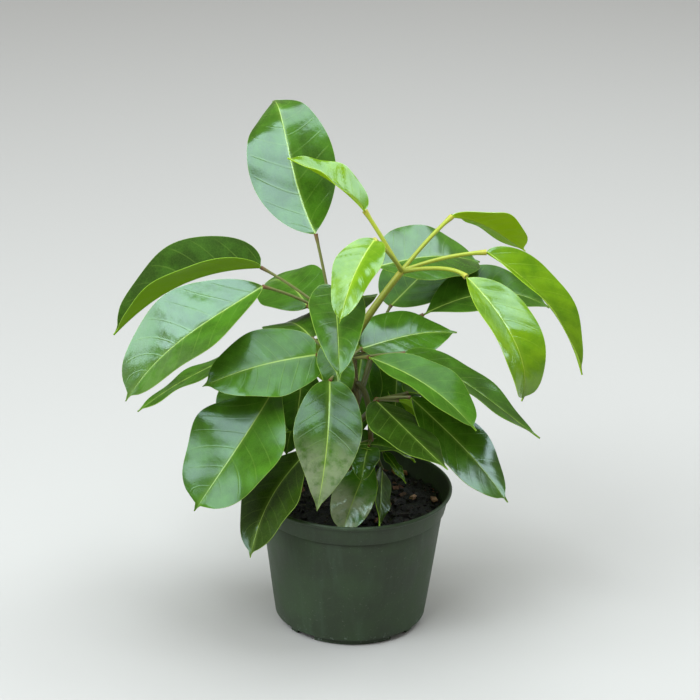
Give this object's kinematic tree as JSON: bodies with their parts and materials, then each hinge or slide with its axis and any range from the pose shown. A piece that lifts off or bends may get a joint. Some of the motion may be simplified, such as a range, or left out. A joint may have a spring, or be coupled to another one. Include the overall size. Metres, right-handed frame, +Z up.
{
  "type": "potted umbrella plant",
  "caption": "Bushy umbrella plant with palmate glossy leaflets on one short stem, growing from potting mix in a tapered green nursery pot.",
  "frame": {"origin": "centre of the underside of the pot, on the surface it stands on", "axes": "+Z up along the pot's axis; -Y towards the viewer of the picture; +X to the viewer's right"},
  "size_m": [0.3838, 0.2906, 0.4143],
  "materials": {
    "pot_plastic": "moulded dark green, satin to matt",
    "potting_mix": "dark damp peat with small bark chips",
    "stem_bark": "green-brown young bark",
    "mature_leaf": "glossy leathery deep green leaf with pale veins",
    "young_leaf": "glossy yellow-green young leaf"
  },
  "bodies": {
    "root": {"pot": "pot_plastic", "potting_mix": "potting_mix", "stem": "stem_bark", "frond_crown": "young_leaf", "frond_upper": "mature_leaf", "frond_middle": "mature_leaf", "frond_back": "mature_leaf", "frond_right": "mature_leaf", "frond_low": "mature_leaf", "frond_left": "mature_leaf", "frond_rear": "mature_leaf"}
  },
  "joints": []
}
